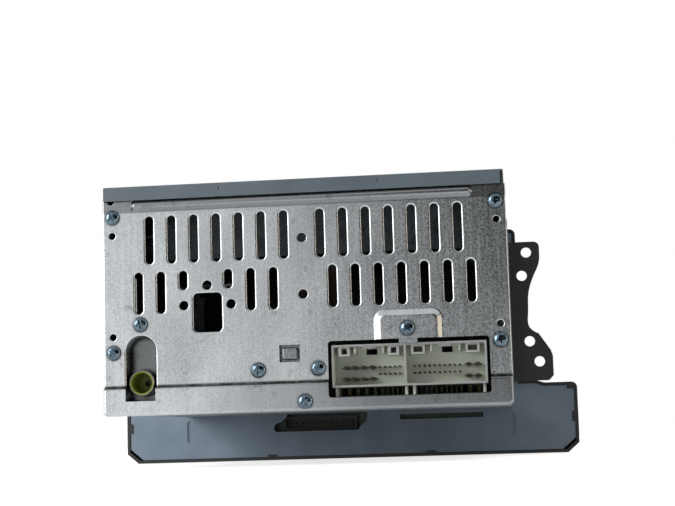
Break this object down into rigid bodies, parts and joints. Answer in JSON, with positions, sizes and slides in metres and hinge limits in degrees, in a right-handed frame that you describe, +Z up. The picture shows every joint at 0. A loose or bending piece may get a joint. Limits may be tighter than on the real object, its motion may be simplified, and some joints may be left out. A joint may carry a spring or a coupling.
{
  "type": "car cd player",
  "caption": "Double height car disc player: a vented sheet metal casing with a wide black fascia, a disc slot, knobs and keys, side brackets and wiring and aerial sockets at the rear.",
  "frame": {"origin": "middle of the four dash bolt holes, on the rear face of the bracket flanges", "axes": "+X right as seen from the front, +Y to the rear of the unit, +Z up"},
  "size_m": [0.244, 0.2099, 0.1245],
  "materials": {
    "pressed_aluminium": "satin pressed sheet",
    "coated_steel": "satin blue-grey coating",
    "galvanised_steel": "zinc coated sheet",
    "zinc_screws": "bright zinc, bluish",
    "black_shell": "fine moulded grain",
    "key_plastic": "satin",
    "knob_plastic": "satin, fluted side",
    "ivory_nylon": "moulded nylon",
    "tinned_brass": "tinned",
    "nickel_plate": "nickel plated",
    "olive_plastic": "moulded",
    "board_resin": "solder mask",
    "chip_resin": "moulded epoxy",
    "capacitor_sleeve": "shrink sleeve",
    "smoked_lens": "smoked acrylic",
    "display_cell": "liquid crystal cell",
    "switch_case": "moulded",
    "slot_felt": "black felt",
    "ribbon_film": "polyimide film",
    "black_rubber": "matt",
    "white_acetal": "moulded acetal",
    "bright_steel": "ground"
  },
  "bodies": {
    "unit": {"rear_panel": "pressed_aluminium", "heat_spreader": "pressed_aluminium", "top_cover": "coated_steel", "bottom_cover": "coated_steel", "fascia_back_plate": "coated_steel", "left_bracket": "coated_steel", "right_bracket": "coated_steel", "left_side_wall": "galvanised_steel", "right_side_wall": "galvanised_steel", "deck_tray": "galvanised_steel", "deck_cover": "galvanised_steel", "tuner_can": "galvanised_steel", "header_clip": "galvanised_steel", "rear_screws": "zinc_screws", "cover_screws": "zinc_screws", "bracket_screws": "zinc_screws", "fascia_shell": "black_shell", "harness_header": "ivory_nylon", "header_pins": "tinned_brass", "aerial_contact": "tinned_brass", "aerial_shell": "nickel_plate", "aerial_insulator": "olive_plastic", "main_board": "board_resin", "front_board": "board_resin", "amp_chip": "chip_resin", "fascia_connector": "chip_resin", "capacitors": "capacitor_sleeve", "display_lens": "smoked_lens", "display_module": "display_cell", "board_switches": "switch_case", "slot_felts": "slot_felt", "flat_ribbons": "ribbon_film", "deck_dampers": "black_rubber", "guide_rods": "bright_steel", "deck_motors": "bright_steel"},
    "loading_roller": {"roller_shaft": "bright_steel", "roller_sleeves": "black_rubber", "roller_gear": "white_acetal"},
    "volume_knob": {"volume_knob": "knob_plastic"},
    "tune_knob": {"tune_knob": "knob_plastic"},
    "power_cap": {"power_cap": "key_plastic"},
    "select_cap": {"select_cap": "key_plastic"},
    "eject_button": {"eject_button": "key_plastic"},
    "preset_1": {"preset_1": "key_plastic"},
    "preset_2": {"preset_2": "key_plastic"},
    "preset_3": {"preset_3": "key_plastic"},
    "preset_4": {"preset_4": "key_plastic"},
    "preset_5": {"preset_5": "key_plastic"},
    "preset_6": {"preset_6": "key_plastic"},
    "function_key_1": {"function_key_1": "key_plastic"},
    "function_key_2": {"function_key_2": "key_plastic"},
    "function_key_3": {"function_key_3": "key_plastic"},
    "function_key_4": {"function_key_4": "key_plastic"},
    "idler_gear": {"idler_gear": "white_acetal"},
    "motor_pinion": {"motor_pinion": "white_acetal"},
    "turntable": {"turntable": "key_plastic"},
    "clamp_arm": {"clamp_arm": "galvanised_steel"},
    "clamp_puck": {"clamp_puck": "white_acetal"},
    "pickup_sled": {"pickup_sled": "chip_resin"},
    "lead_screw": {"lead_screw": "bright_steel"}
  },
  "joints": [
    {"name": "volume_turn", "type": "hinge", "parent": "unit", "child": "volume_knob", "pos_m": [-0.07, -0.03, -0.0171], "axis": [0, 1, 0], "continuous": true},
    {"name": "tune_turn", "type": "hinge", "parent": "unit", "child": "tune_knob", "pos_m": [0.07, -0.03, -0.0171], "axis": [0, 1, 0], "continuous": true},
    {"name": "power_push", "type": "slide", "parent": "volume_knob", "child": "power_cap", "axis": [0, 1, 0], "range_m": [0, 0.0008], "stiffness_N_per_m": 1500},
    {"name": "select_push", "type": "slide", "parent": "tune_knob", "child": "select_cap", "axis": [0, 1, 0], "range_m": [0, 0.0008], "stiffness_N_per_m": 1500},
    {"name": "eject_push", "type": "slide", "parent": "unit", "child": "eject_button", "axis": [0, 1, 0], "range_m": [0, 0.0006], "stiffness_N_per_m": 1500},
    {"name": "preset_1_push", "type": "slide", "parent": "unit", "child": "preset_1", "axis": [0, 1, 0], "range_m": [0, 0.0006], "stiffness_N_per_m": 1500},
    {"name": "preset_2_push", "type": "slide", "parent": "unit", "child": "preset_2", "axis": [0, 1, 0], "range_m": [0, 0.0006], "stiffness_N_per_m": 1500},
    {"name": "preset_3_push", "type": "slide", "parent": "unit", "child": "preset_3", "axis": [0, 1, 0], "range_m": [0, 0.0006], "stiffness_N_per_m": 1500},
    {"name": "preset_4_push", "type": "slide", "parent": "unit", "child": "preset_4", "axis": [0, 1, 0], "range_m": [0, 0.0006], "stiffness_N_per_m": 1500},
    {"name": "preset_5_push", "type": "slide", "parent": "unit", "child": "preset_5", "axis": [0, 1, 0], "range_m": [0, 0.0006], "stiffness_N_per_m": 1500},
    {"name": "preset_6_push", "type": "slide", "parent": "unit", "child": "preset_6", "axis": [0, 1, 0], "range_m": [0, 0.0006], "stiffness_N_per_m": 1500},
    {"name": "function_1_push", "type": "slide", "parent": "unit", "child": "function_key_1", "axis": [0, 1, 0], "range_m": [0, 0.0006], "stiffness_N_per_m": 1500},
    {"name": "function_2_push", "type": "slide", "parent": "unit", "child": "function_key_2", "axis": [0, 1, 0], "range_m": [0, 0.0006], "stiffness_N_per_m": 1500},
    {"name": "function_3_push", "type": "slide", "parent": "unit", "child": "function_key_3", "axis": [0, 1, 0], "range_m": [0, 0.0006], "stiffness_N_per_m": 1500},
    {"name": "function_4_push", "type": "slide", "parent": "unit", "child": "function_key_4", "axis": [0, 1, 0], "range_m": [0, 0.0006], "stiffness_N_per_m": 1500},
    {"name": "roller_turn", "type": "hinge", "parent": "unit", "child": "loading_roller", "pos_m": [0, 0.01, 0.0224], "axis": [1, 0, 0], "continuous": true},
    {"name": "idler_turn", "type": "hinge", "parent": "unit", "child": "idler_gear", "pos_m": [0.0755, 0.01804, 0.00964], "axis": [1, 0, 0], "continuous": true},
    {"name": "pinion_turn", "type": "hinge", "parent": "unit", "child": "motor_pinion", "pos_m": [0.0755, 0.03012, 0.00964], "axis": [1, 0, 0], "continuous": true},
    {"name": "turntable_spin", "type": "hinge", "parent": "unit", "child": "turntable", "pos_m": [0, 0.068, 0.0274], "axis": [0, 0, 1], "continuous": true},
    {"name": "clamp_swing", "type": "hinge", "parent": "unit", "child": "clamp_arm", "pos_m": [0, 0.124, 0.0326], "axis": [1, 0, 0], "range_deg": [0, 2.8]},
    {"name": "puck_spin", "type": "hinge", "parent": "clamp_arm", "child": "clamp_puck", "pos_m": [0, 0.068, 0.0314], "axis": [0, 0, 1], "continuous": true},
    {"name": "sled_slide", "type": "slide", "parent": "unit", "child": "pickup_sled", "axis": [1, 0, 0], "range_m": [0, 0.034]},
    {"name": "lead_screw_turn", "type": "hinge", "parent": "unit", "child": "lead_screw", "pos_m": [0.04, 0.045, 0.0202], "axis": [1, 0, 0], "range_deg": [0, 4080.01]}
  ],
  "couplings": [
    {"joint": "idler_turn", "follows": "roller_turn", "ratio": -0.66667},
    {"joint": "pinion_turn", "follows": "roller_turn", "ratio": 2},
    {"joint": "lead_screw_turn", "follows": "sled_slide", "rad_per_m": 2094.4}
  ]
}
